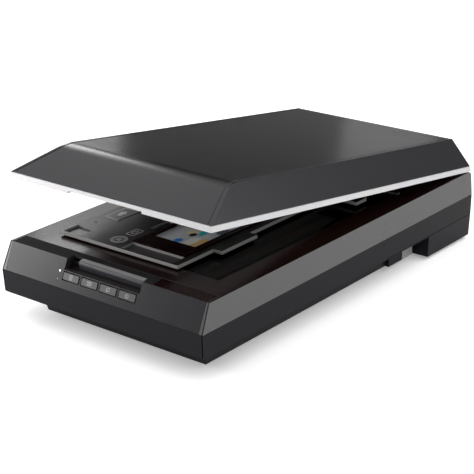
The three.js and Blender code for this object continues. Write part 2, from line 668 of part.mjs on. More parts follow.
// The wedge between the two leaning side faces, each moved in by inset.
function lidSides(inset) {
  const run = LID.lowHalf - LID.highHalf;
  const rise = LID.topZ - LID.shellZ;
  const shift = inset * (Math.hypot(run, rise) / rise);
  const over = 30;
  const low = LID.lowHalf - shift + (run * over) / rise;
  const high = LID.highHalf - shift - (run * over) / rise;
  return tapered(blockOf(low, -300, 300, LID.shellZ - over), blockOf(high, -300, 300, LID.topZ + over));
}

function lidCover() {
  const outside = alongX(lidSection(0, LID.shellZ), -150, 150);
  const inside = alongX(lidSection(LID.skin, LID.shellZ - 2), -150, 150);
  return cut(outside, inside).intersect(lidSides(LID.sidePanel + LID.seam));
}

// A side shell. Its lip laps under the top shell, so nothing shows through the seam between them.
function lidSidePanel(side) {
  const reach = [Math.min(0, side * 150), Math.max(0, side * 150)];
  const lipInset = LID.skin + GAP;
  const slab = alongX(lidSection(0, LID.shellZ), ...reach);
  const plate = cut(slab.intersect(lidSides(0)), lidSides(LID.sidePanel));
  const lipOutside = alongX(lidSection(lipInset, LID.shellZ), ...reach);
  const lipInside = alongX(lidSection(lipInset + LID.lipWall, LID.shellZ - 2), ...reach);
  const lipEnds = [LID.sidePanel - 0.1, LID.sidePanel + LID.seam + LID.lipLap].map(lidSides);
  return join(plate, cut(cut(lipOutside, lipInside).intersect(lipEnds[0]), lipEnds[1]));
}

function lidRim() {
  const top = LID.shellZ - GAP;
  const ring = tapered(blockOf(138.6, -228.5, 239.3, LID.rimZ), blockOf(137.4, -227.4, 238.2, top));
  const hole = box(-129, 129, -219, 230.6, 70, 100);
  const relief = alongX(outline([[-240, 80], [-200, 80], [-200, LID.rimZ + 2], [-240, LID.rimZ + 2]]),
    NOTCH.left + 2, NOTCH.right - 2);
  const hingeRooms = [-1, 1].map((side) => box(
    side * HINGE.x - 10.6, side * HINGE.x + 10.6, 225, 236.6, 70, 100));
  return cut(ring, hole, relief, ...hingeRooms);
}

function lidInnerPanel() {
  const panel = box(-128, 128, -212, 229, PANEL_Z, PANEL_Z + PANEL_THICKNESS);
  const window = box(LAMP_WINDOW.left, LAMP_WINDOW.right, LAMP_WINDOW.front, LAMP_WINDOW.rear, 80, 100);
  const ribs = [-100, 84].map((x) => box(x, x + 3, -190, 215, PANEL_Z + 1.9, PANEL_Z + 9));
  return join(cut(panel, window), ...ribs);
}

function lampWindow() {
  return box(LAMP_WINDOW.left + GAP, LAMP_WINDOW.right - GAP, LAMP_WINDOW.front + GAP,
    LAMP_WINDOW.rear - GAP, PANEL_Z + 0.4, PANEL_Z + 1.6);
}

function backlight() {
  const guide = box(LAMP_WINDOW.left - 4, LAMP_WINDOW.right + 4, LAMP_WINDOW.front - 4,
    LAMP_WINDOW.rear + 4, PANEL_Z + PANEL_THICKNESS + GAP, PANEL_Z + 7);
  const lampBar = box(LAMP_WINDOW.left - 12, LAMP_WINDOW.left - 3, LAMP_WINDOW.front - 4,
    LAMP_WINDOW.rear + 4, PANEL_Z + PANEL_THICKNESS + GAP, PANEL_Z + 12);
  return join(guide, lampBar);
}

// ---------------------------------------------------------------- film holder
function holderOutline() {
  const { left, right, front, rear, tab, arm } = HOLDER;
  return outline([
    [left, front], [right, front], [right, tab.front], [right + tab.reach, tab.front],
    [right + tab.reach, tab.rear], [right + 1, tab.rear], [right + 1, arm.front],
    [arm.reach, arm.front], [arm.reach, rear], [left, rear],
  ]);
}

function filmHolder() {
  const { left, low, high, pocketFloor } = HOLDER;
  const over = high + 1;
  const plate = alongZ(holderOutline(), low, high);
  const cornerPocket = box(left + 3, left + 27, -184.5, -163, pocketFloor, over);
  const frontPocket = box(-19, 52, -183.7, -166, pocketFloor, over);
  const filmWindow = box(FILM.left, FILM.right, FILM.front, FILM.rear, low - 1, over);
  const filmSeat = box(FILM.left - 4, FILM.right + 4, FILM.front - 4, FILM.rear + 4, high - 1.7, over);
  const hook = alongZ(outline([
    [-32.5, -126], [-26.5, -126], [-26.5, -122], [-24, -119], [-24, -112], [-26.5, -109], [-26.5, -104],
    [-20.5, -104], [-20.5, -98], [-32.5, -98]]), high - 2.6, over);
  const peg = bar('z', 1.4, 4, [-92.5, -146, high], 14);
  const gauge = box(-96, -75, -130.5, -96, high - 0.1, high + 0.8);
  const runners = [left + 8, 50].map((x) => box(x, x + 4, -168, 80, GLASS.top + GAP, low + 0.5));
  return join(cut(plate, cornerPocket, frontPocket, filmWindow, filmSeat, hook, peg), gauge, ...runners);
}

function holderCover() {
  const frame = box(-19.5, 52.5, -165.6, 62, HOLDER.high + GAP, HOLDER.high + 1.7);
  const window = box(FILM.left, FILM.right, FILM.front, FILM.rear, 80, 95);
  const lip = box(FILM.left - 3.4, FILM.right + 3.4, FILM.front - 3.4, FILM.rear + 3.4,
    HOLDER.high - 0.6, HOLDER.high + 0.5);
  return cut(join(frame, lip), window);
}

function filmStrip() {
  return box(FILM.left - 3.6, FILM.right + 3.6, FILM.front - 3.6, FILM.rear + 3.6,
    HOLDER.high - 1.4, HOLDER.high - 1);
}

// ---------------------------------------------------------------- assembly
addPart('base_tray', baseTray(), CHARCOAL);
addPart('upper_cover', upperCover(), SIDE_GREY);
addPart('platen_glass', platenGlass(), GLASS_CLEAR);
addPart('front_panel', frontPanel(), SATIN_GREY);
addPart('gloss_insert', glossInsert(), GLOSS_BLACK);
addPart('grip_recess', gripRecess(), BLACK);
addPart('grip_bar', gripBar(), SWITCH_GREY);
buttonCentres().forEach((x, i) => addPart(`button_${i + 1}`, button(x), SATIN_GREY, slope));
addPart('indicator_lens', indicatorLens(), LENS_CLEAR, slope);
addPart('panel_board', panelBoard(), BOARD_GREEN, slope);

addPart('transport_lock', transportLock(), SWITCH_GREY);
FEET.forEach(({ name, x, y, top }) => addPart(`foot_${name}`, foot(x, y, top), RUBBER));
addPart('main_board', mainBoard(), BOARD_GREEN);
PORTS.forEach((port) => addPart(port.name, portHousing(port), BLACK));
addPart('flat_cable', flatCable(), RIBBON_WHITE);

addPart('guide_rod', guideRod(), STEEL);
addPart('rod_support_front', rodSupport(-200, TRAY_FLOOR_Z), BLACK);
addPart('rod_support_rear', rodSupport(217, BLOCK_FLOOR_Z), BLACK);
addPart('slide_rail', slideRail(), STEEL);
addPart('carriage_housing', carriageHousing(), BLACK);
addPart('scan_lamp', scanLamp(), LENS_CLEAR);
addPart('upper_mirror', foldMirror(CARRIAGE.front + 12, 56, Math.PI / 4, 95), STEEL);
addPart('lower_mirror', foldMirror(CARRIAGE.front + 20, 66, -Math.PI / 3, 60), STEEL);
addPart('lens_barrel', lensBarrel(), BLACK);
addPart('sensor_board', sensorBoard(), BOARD_GREEN);
addPart('rod_bush', rodBush(), NYLON);
addPart('belt_clamp', beltClamp(), BLACK);
addPart('drive_belt', driveBelt(), RUBBER);
addPart('drive_gear', driveGear(), NYLON);
addPart('motor_pinion', motorPinion(), BRASS);
addPart('motor', motor(), STEEL);
addPart('motor_bracket', motorBracket(), STEEL);
addPart('idler_pulley', idlerPulley(), NYLON);
addPart('idler_bracket', idlerBracket(), BLACK);
addPart('belt_spring', beltSpring(), STEEL);

[['left', -1], ['right', 1]].forEach(([name, side]) => {
  addPart(`hinge_socket_${name}`, hingeSocket(side), BLACK);
  addPart(`hinge_post_${name}`, hingePost(side), CHARCOAL);
  addPart(`hinge_arm_${name}`, hingeArm(side), STEEL, lid);
  addPart(`lid_side_${name}`, lidSidePanel(side), LID_CHARCOAL, lid);
});
addPart('lid_cover', lidCover(), LID_CHARCOAL, lid);
addPart('lid_rim', lidRim(), RIM_WHITE, lid);
addPart('lid_inner_panel', lidInnerPanel(), BLACK, lid);
addPart('lamp_window', lampWindow(), LENS_CLEAR, lid);
addPart('backlight', backlight(), LENS_CLEAR, lid);

addPart('film_holder', filmHolder(), BLACK);
addPart('film_holder_cover', holderCover(), GLOSS_BLACK);
addPart('film_strip', filmStrip(), FILM_TINT);

export default scanner;
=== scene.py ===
"""Looks of a flatbed photo scanner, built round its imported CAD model.

Metres, in the model's own frame: +X to the operator's right, -Y the front, +Z up.
"""

import json
import math

import bmesh
import bpy
from mathutils import Matrix, Vector

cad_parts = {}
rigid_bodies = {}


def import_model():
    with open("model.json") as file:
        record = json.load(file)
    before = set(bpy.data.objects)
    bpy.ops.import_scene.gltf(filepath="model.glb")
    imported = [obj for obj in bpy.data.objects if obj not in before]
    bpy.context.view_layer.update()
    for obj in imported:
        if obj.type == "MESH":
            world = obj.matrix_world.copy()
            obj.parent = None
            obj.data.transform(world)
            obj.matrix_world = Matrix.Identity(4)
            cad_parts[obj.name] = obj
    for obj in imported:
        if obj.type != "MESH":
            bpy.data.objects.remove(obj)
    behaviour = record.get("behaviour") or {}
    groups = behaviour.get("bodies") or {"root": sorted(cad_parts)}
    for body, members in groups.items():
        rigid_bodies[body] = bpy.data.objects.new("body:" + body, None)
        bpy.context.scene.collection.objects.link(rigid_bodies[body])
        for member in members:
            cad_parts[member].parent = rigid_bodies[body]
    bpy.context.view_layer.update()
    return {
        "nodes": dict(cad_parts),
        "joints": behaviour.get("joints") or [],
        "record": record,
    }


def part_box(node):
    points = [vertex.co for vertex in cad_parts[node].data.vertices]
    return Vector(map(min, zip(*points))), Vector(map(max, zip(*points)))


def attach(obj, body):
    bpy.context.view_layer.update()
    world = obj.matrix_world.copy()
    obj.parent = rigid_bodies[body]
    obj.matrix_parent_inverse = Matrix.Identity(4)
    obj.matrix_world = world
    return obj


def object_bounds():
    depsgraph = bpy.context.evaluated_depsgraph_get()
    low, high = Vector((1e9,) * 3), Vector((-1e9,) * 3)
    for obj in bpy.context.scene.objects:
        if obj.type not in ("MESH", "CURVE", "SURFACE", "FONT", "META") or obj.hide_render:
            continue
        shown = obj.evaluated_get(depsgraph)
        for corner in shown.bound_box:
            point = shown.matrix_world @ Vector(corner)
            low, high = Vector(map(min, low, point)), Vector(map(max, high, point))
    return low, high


for stray in list(bpy.data.objects):
    bpy.data.objects.remove(stray)

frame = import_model()

MM = 0.001
NODES = frame["nodes"]
SLOT_OF = {part["node"]: part["material_slot"] for part in frame["record"]["subparts"]}
JOINTS = {joint["name"]: joint for joint in frame["joints"]}


# ---------------------------------------------------------------- camera, light and floor
CAMERA_TURN = (40.21, 21.40, -1.67)  # azimuth, elevation and roll, in degrees
CAMERA_TARGET = Vector((0.01473, -0.03565, 0.060))
CAMERA_DISTANCE = 1.58956
CAMERA_LENS = 110.83  # mm, on a sensor 36 mm wide
CAMERA_SHIFT = -0.0048


def make_camera():
    azimuth, elevation, roll = (math.radians(a) for a in CAMERA_TURN)
    back = Vector((math.sin(azimuth) * math.cos(elevation),
                   -math.cos(azimuth) * math.cos(elevation), math.sin(elevation)))
    level = Vector((math.cos(azimuth), math.sin(azimuth), 0))
    above = back.cross(level)
    right = math.cos(roll) * level + math.sin(roll) * above
    up = -math.sin(roll) * level + math.cos(roll) * above
    data = bpy.data.cameras.new("camera")
    data.sensor_width = 36
    data.lens = CAMERA_LENS
    data.shift_x = CAMERA_SHIFT
    data.clip_end = 50
    camera = bpy.data.objects.new("camera", data)
    bpy.context.scene.collection.objects.link(camera)
    place = Matrix((right, up, back)).transposed().to_4x4()
    place.translation = CAMERA_TARGET + CAMERA_DISTANCE * back
    camera.matrix_world = place
    bpy.context.scene.camera = camera


def softbox(name, place, aim, width, height, power):
    data = bpy.data.lights.new(name, "AREA")
    data.shape = "RECTANGLE"
    data.size = width
    data.size_y = height
    data.energy = power
    lamp = bpy.data.objects.new(name, data)
    bpy.context.scene.collection.objects.link(lamp)
    lamp.location = place
    lamp.visible_camera = False
    lamp.rotation_mode = "QUATERNION"
    lamp.rotation_quaternion = (Vector(aim) - Vector(place)).to_track_quat("-Z", "Y")


SKY_RAMP = (0.33, 0.60)  # where the sky starts to brighten, and where it is brightest


def make_world(horizon, zenith):
    """A sky that is dark low down and bright overhead, seen as plain white behind the floor."""
    world = bpy.data.worlds.new("studio")
    bpy.context.scene.world = world
    world.use_nodes = True
    tree = world.node_tree
    tree.nodes.clear()
    coordinate = tree.nodes.new("ShaderNodeTexCoord")
    split = tree.nodes.new("ShaderNodeSeparateXYZ")
    ramp = tree.nodes.new("ShaderNodeValToRGB")
    sky = tree.nodes.new("ShaderNodeBackground")
    output = tree.nodes.new("ShaderNodeOutputWorld")
    ramp.color_ramp.elements[0].position = SKY_RAMP[0]
    ramp.color_ramp.elements[0].color = (horizon, horizon, horizon, 1)
    ramp.color_ramp.elements[1].position = SKY_RAMP[1]
    ramp.color_ramp.elements[1].color = (zenith, zenith, zenith, 1)
    tree.links.new(coordinate.outputs["Generated"], split.inputs[0])
    tree.links.new(split.outputs["Z"], ramp.inputs["Fac"])
    tree.links.new(ramp.outputs["Color"], sky.inputs["Color"])
    seen = tree.nodes.new("ShaderNodeBackground")
    seen.inputs["Color"].default_value = (1, 1, 1, 1)
    ray = tree.nodes.new("ShaderNodeLightPath")
    choose = tree.nodes.new("ShaderNodeMixShader")
    tree.links.new(ray.outputs["Is Camera Ray"], choose.inputs["Fac"])
    tree.links.new(sky.outputs["Background"], choose.inputs[1])
    tree.links.new(seen.outputs["Background"], choose.inputs[2])
    tree.links.new(choose.outputs["Shader"], output.inputs["Surface"])


# ---------------------------------------------------------------- node materials
class Shader:
    """A node material being made. Each method adds nodes and gives back their output socket."""

    def __init__(self, name, specular=0.5, **fixed):
        self.material = bpy.data.materials.new(name)
        self.material.use_nodes = True
        self.tree = self.material.node_tree
        self.tree.nodes.clear()
        self.bsdf = self.add("ShaderNodeBsdfPrincipled")
        output = self.add("ShaderNodeOutputMaterial")
        self.tree.links.new(self.bsdf.outputs["BSDF"], output.inputs["Surface"])
        self.position = self.add("ShaderNodeTexCoord").outputs["Object"]
        self.bsdf.inputs["Specular IOR Level"].default_value = specular
        for socket, value in fixed.items():
            self.bsdf.inputs[socket.replace("_", " ")].default_value = value

    def add(self, kind):
        return self.tree.nodes.new(kind)

    def put(self, socket, value):
        """Links an output to the socket, or sets a constant on it."""
        if isinstance(value, bpy.types.NodeSocket):
            self.tree.links.new(value, socket)
        elif isinstance(value, tuple) and len(value) == 3 and socket.type == "RGBA":
            socket.default_value = (*value, 1)
        else:
            socket.default_value = value

    def surface(self, **values):
        for socket, value in values.items():
            self.put(self.bsdf.inputs[socket.replace("_", " ")], value)

    def stretched(self, size, stretch):
        mapping = self.add("ShaderNodeMapping")
        mapping.inputs["Scale"].default_value = [s / size for s in stretch]
        self.tree.links.new(self.position, mapping.inputs["Vector"])
        return mapping.outputs["Vector"]

    def noise(self, size, detail=2.0, stretch=(1, 1, 1)):
        texture = self.add("ShaderNodeTexNoise")
        texture.inputs["Scale"].default_value = 1
        texture.inputs["Detail"].default_value = detail
        self.tree.links.new(self.stretched(size, stretch), texture.inputs["Vector"])
        return texture.outputs["Fac"]

    def cells(self, size, stretch=(1, 1, 1)):
        texture = self.add("ShaderNodeTexVoronoi")
        texture.feature = "SMOOTH_F1"
        texture.inputs["Scale"].default_value = 1
        texture.inputs["Smoothness"].default_value = 0.4
        self.tree.links.new(self.stretched(size, stretch), texture.inputs["Vector"])
        return texture.outputs["Distance"]

    def span(self, value, low, high, start=0.3, end=0.7):
        """Maps value from start..end to low..high, held at both ends."""
        node = self.add("ShaderNodeMapRange")
        self.put(node.inputs["Value"], value)
        limits = (("From Min", start), ("From Max", end), ("To Min", low), ("To Max", high))
        for socket, number in limits:
            node.inputs[socket].default_value = number
        return node.outputs["Result"]

    def math(self, operation, a, b=0.0):
        node = self.add("ShaderNodeMath")
        node.operation = operation
        self.put(node.inputs[0], a)
        self.put(node.inputs[1], b)
        return node.outputs[0]

    def mix(self, factor, a, b):
        node = self.add("ShaderNodeMix")
        node.data_type = "RGBA"
        self.put(node.inputs["Factor"], factor)
        self.put(node.inputs[6], a)
        self.put(node.inputs[7], b)
        return node.outputs[2]

    def bump(self, height, depth, under=None):
        node = self.add("ShaderNodeBump")
        node.inputs["Strength"].default_value = 1
        node.inputs["Distance"].default_value = depth
        self.put(node.inputs["Height"], height)
        if under:
            self.put(node.inputs["Normal"], under)
        return node.outputs["Normal"]

    def edges(self, radius):
        """1 on sharp edges, falling to 0 about one radius away from them."""
        rounded = self.add("ShaderNodeBevel")
        rounded.samples = 4
        rounded.inputs["Radius"].default_value = radius
        flat = self.add("ShaderNodeNewGeometry")
        turn = self.add("ShaderNodeVectorMath")
        turn.operation = "DOT_PRODUCT"
        self.put(turn.inputs[0], rounded.outputs["Normal"])
        self.put(turn.inputs[1], flat.outputs["Normal"])
        return self.span(turn.outputs["Value"], 1, 0, 0.75, 0.98)

    def ball(self, centre, size):
        """1 at the centre of an ellipsoid of that size, falling to 0 at its surface."""
        away = self.add("ShaderNodeVectorMath")
        away.operation = "SUBTRACT"
        self.put(away.inputs[0], self.position)
        away.inputs[1].default_value = centre
        squeezed = self.add("ShaderNodeVectorMath")
        squeezed.operation = "DIVIDE"
        self.put(squeezed.inputs[0], away.outputs[0])
        squeezed.inputs[1].default_value = size
        length = self.add("ShaderNodeVectorMath")
        length.operation = "LENGTH"
        self.put(length.inputs[0], squeezed.outputs[0])
        return self.span(length.outputs["Value"], 1, 0, 0.7, 1.0)

    def along(self, axis):
        split = self.add("ShaderNodeSeparateXYZ")
        self.put(split.inputs[0], self.position)
        return split.outputs[axis]


def shaded(colour, by):
    return tuple(min(1.0, c * by) for c in colour)


def moulded(name, colour, roughness, grain=0.5, depth=0.02, edge_wear_and_highlight=0.3, mottle=0.03, specular=0.5,
            top=None, top_roughness=None, top_tilt=(0.8, 0.95), worn=None, sunk=None, **fixed):
    """Injection-moulded plastic: spark-eroded grain, faint flow marks, edges lightened by rubbing
    and, on the lid and the film holder, as a painted highlight.

    top and top_roughness are the colour and roughness of its upward faces, where those differ. The
    top colour is painted light: darker than the sides as painted shade on most parts, paler on the
    grip as a painted highlight. top_tilt says how much of a face's normal points up where that colour
    starts and where it is complete. sunk is a height and the colour of the upward faces below it,
    painted paler than the top as a painted reflection on the film holder's pocket floors.
    """
    s = Shader(name, specular, **fixed)
    cloud = s.noise(70 * MM, 3)
    speck = s.noise(grain * MM, 2)
    body = s.mix(s.span(cloud, 0, 1), shaded(colour, 1 - mottle), shaded(colour, 1 + mottle))
    body = s.mix(s.span(speck, 0, 0.3, 0.5, 0.75), body, shaded(colour, 1.06))
    rough = s.span(s.noise(24 * MM, 3), roughness - 0.012, roughness + 0.018)
    # Painted light: upward faces get the top colour, darker than the sides as painted shade on most parts,
    # paler on the grip as a painted highlight.
    if top:
        upward = s.add("ShaderNodeSeparateXYZ")
        s.put(upward.inputs[0], s.add("ShaderNodeTexCoord").outputs["Normal"])
        above = s.span(upward.outputs["Z"], 0, 1, *top_tilt)
        painted_top_tone = s.mix(s.span(cloud, 0, 1), top, shaded(top, 1.08))
        # Painted reflection: upward faces below the sunk height, the holder's pocket floors, are painted
        # paler than the top colour.
        if sunk:
            floor_z, pocket_floor_painted_reflection = sunk
            low_down = s.span(s.along("Z"), 1, 0, floor_z, floor_z + 0.2 * MM)
            painted_top_tone = s.mix(low_down, painted_top_tone, pocket_floor_painted_reflection)
        body = s.mix(above, body, painted_top_tone)
        raised = s.math("MULTIPLY", above, (top_roughness or roughness) - roughness)
        rough = s.math("ADD", rough, raised)
    # Lightened edges: rubbing on most parts; on the lid and the film holder, these edges and their colour
    # are a painted highlight.
    rubbed_and_highlit_edges = s.math("MULTIPLY", s.edges(0.5 * MM), s.span(s.noise(9 * MM, 4), 0.3 * edge_wear_and_highlight, edge_wear_and_highlight))
    worn = worn or tuple(min(1.0, c * 1.6 + 0.03) for c in colour)
    s.surface(Base_Color=s.mix(rubbed_and_highlit_edges, body, worn), Roughness=rough, Normal=s.bump(speck, depth * MM))
    return s.material


def capped(name, colour, roughness, node_name, outward):
    """A pale key cap whose sides are painted near-black as the shade in the gap round it; the cap is what
    lies within 0.35 mm of the outermost face.
    """
    reach = max(v.co.dot(outward) for v in NODES[node_name].data.vertices)
    s = Shader(name, 0.3)
    along = s.add("ShaderNodeVectorMath")
    along.operation = "DOT_PRODUCT"
    s.put(along.inputs[0], s.position)
    along.inputs[1].default_value = outward
    cap = s.span(along.outputs["Value"], 0, 1, reach - 0.55 * MM, reach - 0.35 * MM)
    speck = s.noise(0.35 * MM, 2)
    body = s.mix(s.span(speck, 0, 0.5, 0.5, 0.7), colour, shaded(colour, 1.1))
    rubbed_and_highlit_edges = s.math("MULTIPLY", s.edges(0.5 * MM), s.span(s.noise(5 * MM, 4), 0.1, 0.4))
    body = s.mix(rubbed_and_highlit_edges, body, shaded(colour, 2.0))
    # Painted shade: below the cap the button is nearly black.
    s.surface(Base_Color=s.mix(cap, (0.002, 0.002, 0.002), body),
              Roughness=s.span(s.noise(7 * MM, 4), roughness - 0.03, roughness + 0.05),
              Normal=s.bump(speck, 0.012 * MM))
    return s.material


def polished(name, colour, roughness, specular=0.5, **fixed):
    """Glossy moulding with hairline scratches and a little dust."""
    s = Shader(name, specular, **fixed)
    hairs = s.noise(2.4 * MM, 6, (1, 12, 1))
    smear = s.noise(40 * MM, 4)
    dust = s.span(s.noise(1.1 * MM, 2), 0, 0.25, 0.66, 0.78)
    body = s.mix(s.span(smear, 0, 1), shaded(colour, 0.9), shaded(colour, 1.12))
    s.surface(Base_Color=s.mix(dust, body, tuple(min(1, c + 0.04) for c in colour)),
              Roughness=s.math("ADD", s.span(smear, roughness, roughness + 0.05), s.span(hairs, 0, 0.04)),
              Normal=s.bump(smear, 0.01 * MM))
    return s.material


def ground_metal(name, colour, roughness, along=(1, 1, 1)):
    """Drawn or ground metal: streaks along the work, slight tarnish."""
    s = Shader(name, 0.5, Metallic=1.0)
    streak = s.noise(1.2 * MM, 4, along)
    stain = s.noise(14 * MM, 4)
    s.surface(Base_Color=s.mix(s.span(stain, 0, 1), shaded(colour, 0.85), colour),
              Roughness=s.math("ADD", s.span(streak, roughness, roughness + 0.12), s.span(stain, 0.08, 0)),
              Normal=s.bump(streak, 0.01 * MM))
    return s.material


def clear(name, tint, roughness, transmission, index):
    """Glass or clear moulding with faint dust on it."""
    s = Shader(name, 0.5, IOR=index, Transmission_Weight=transmission,
               Specular_Tint=(1.0, 0.4, 0.36, 1))
    dust = s.span(s.noise(1.6 * MM, 3), 0, 0.05, 0.62, 0.8)
    smear = s.noise(55 * MM, 4)
    s.surface(Base_Color=s.mix(s.span(smear, 0, 1), tint, shaded(tint, 0.94)),
              Roughness=s.math("ADD", s.span(smear, roughness, roughness + 0.02), dust))
    return s.material


def milky(name, colour, roughness):
    """Opal plastic that light gets a little way into."""
    s = Shader(name, 0.5, Subsurface_Weight=0.25, Subsurface_Scale=2 * MM)
    cloud = s.noise(25 * MM, 3)
    body = s.mix(s.span(cloud, 0, 1), shaded(colour, 0.97), colour)
    s.surface(Base_Color=body, Roughness=s.span(s.noise(6 * MM, 3), roughness, roughness + 0.08),
              Normal=s.bump(s.noise(0.6 * MM, 2), 0.008 * MM))
    return s.material


def circuit_board(name, colour):
    s = Shader(name, 0.5)
    tracks = s.cells(3.2 * MM, (1, 0.35, 1))
    body = s.mix(s.span(tracks, 0, 1, 0.32, 0.36), shaded(colour, 0.7), shaded(colour, 1.5))
    pads = s.span(s.noise(2.2 * MM, 1), 0, 1, 0.68, 0.70)
    s.surface(Base_Color=s.mix(pads, body, (0.55, 0.50, 0.36)), Roughness=s.span(tracks, 0.3, 0.5),
              Normal=s.bump(tracks, 0.03 * MM))
    return s.material


def rubber(name, colour):
    s = Shader(name, 0.3)
    pores = s.noise(0.7 * MM, 4)
    s.surface(Base_Color=s.mix(s.span(s.noise(6 * MM, 4), 0, 1), colour, shaded(colour, 1.8)),
              Roughness=s.span(pores, 0.75, 0.95), Normal=s.bump(pores, 0.05 * MM))
    return s.material


def ribbon(name, colour):
    """Flat cable: parallel conductors under a thin film."""
    s = Shader(name, 0.5)
    wave = s.math("SINE", s.math("MULTIPLY", s.along("X"), 2 * math.pi / (1.0 * MM)))
    s.surface(Base_Color=s.mix(s.span(wave, 0, 1, -0.2, 0.6), colour, (0.42, 0.42, 0.44)),
              Roughness=s.span(s.noise(8 * MM, 3), 0.35, 0.5), Normal=s.bump(wave, 0.05 * MM))
    return s.material


FILM_FIELDS = (  # colour, then the middle and half size of each field, in mm
    ((0.78, 0.52, 0.20), 37, -128, 8, 18),
    ((0.85, 0.84, 0.80), 27, -127, 7, 14),
    ((0.05, 0.25, 0.75), 13.5, -132, 5.5, 6.5),
    ((0.05, 0.52, 0.62), 22, -103, 5.5, 9),
    ((0.82, 0.72, 0.45), 12, -107, 8.5, 8),
    ((0.02, 0.015, 0.012), 16, -112, 4.5, 6),
    ((0.13, 0.16, 0.22), 38, -88, 9, 10),
    ((0.80, 0.80, 0.78), 44, -66, 8, 12),
    ((0.30, 0.38, 0.20), 2, -30, 14, 12),
    ((0.16, 0.24, 0.34), 28, 8, 16, 20),
    ((0.66, 0.58, 0.44), 8, 24, 14, 12),
)
FRAME_BAR_Y = -56 * MM  # the dark bar between two frames


def film_picture(name):
    """Developed film: soft abstract colour fields between clear borders."""
    low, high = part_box("film_strip")
    z = high.z
    s = Shader(name, 0.5)
    haze = s.noise(9 * MM, 3)
    across = s.span(s.along("X"), 0, 1, low.x, high.x)
    sky = s.mix(across, (0.62, 0.65, 0.68), (0.45, 0.50, 0.55))
    sky = s.mix(s.span(haze, 0, 0.5), sky, (0.75, 0.76, 0.76))
    for colour, x, y, half_x, half_y in FILM_FIELDS:
        field = s.ball((x * MM, y * MM, z), (half_x * MM, half_y * MM, 10 * MM))
        sky = s.mix(field, sky, colour)
    frame_bar = s.math("ABSOLUTE", s.math("SUBTRACT", s.along("Y"), FRAME_BAR_Y))
    bars = s.span(frame_bar, 1, 0, 1.2 * MM, 1.8 * MM)
    s.surface(Base_Color=s.mix(bars, sky, (0.05, 0.03, 0.02)),
              Roughness=s.span(haze, 0.14, 0.24), Normal=s.bump(haze, 0.02 * MM))
    return s.material


def indicator(name):
    """Clear light pipe: the upper head glows white, the lower one is unlit."""
    low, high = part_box("indicator_lens")
    s = Shader(name, 0.5, Transmission_Weight=0.5, IOR=1.49)
    lit = s.span(s.along("Z"), 0, 1, high.z - 4.6 * MM, high.z - 4.2 * MM)
    s.surface(Base_Color=s.mix(lit, (0.25, 0.26, 0.28), (0.95, 0.97, 1.0)),
              Roughness=s.span(s.noise(2 * MM, 2), 0.2, 0.3),
              Emission_Color=s.mix(lit, (0.0, 0.0, 0.0), (1.0, 1.0, 1.0)), Emission_Strength=0.9)
    return s.material


PAD_HEIGHT = 0.8 * MM  # how far the film holder's gauge pad stands above the rest of it
HOLDER_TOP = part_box("film_holder")[1].z - PAD_HEIGHT

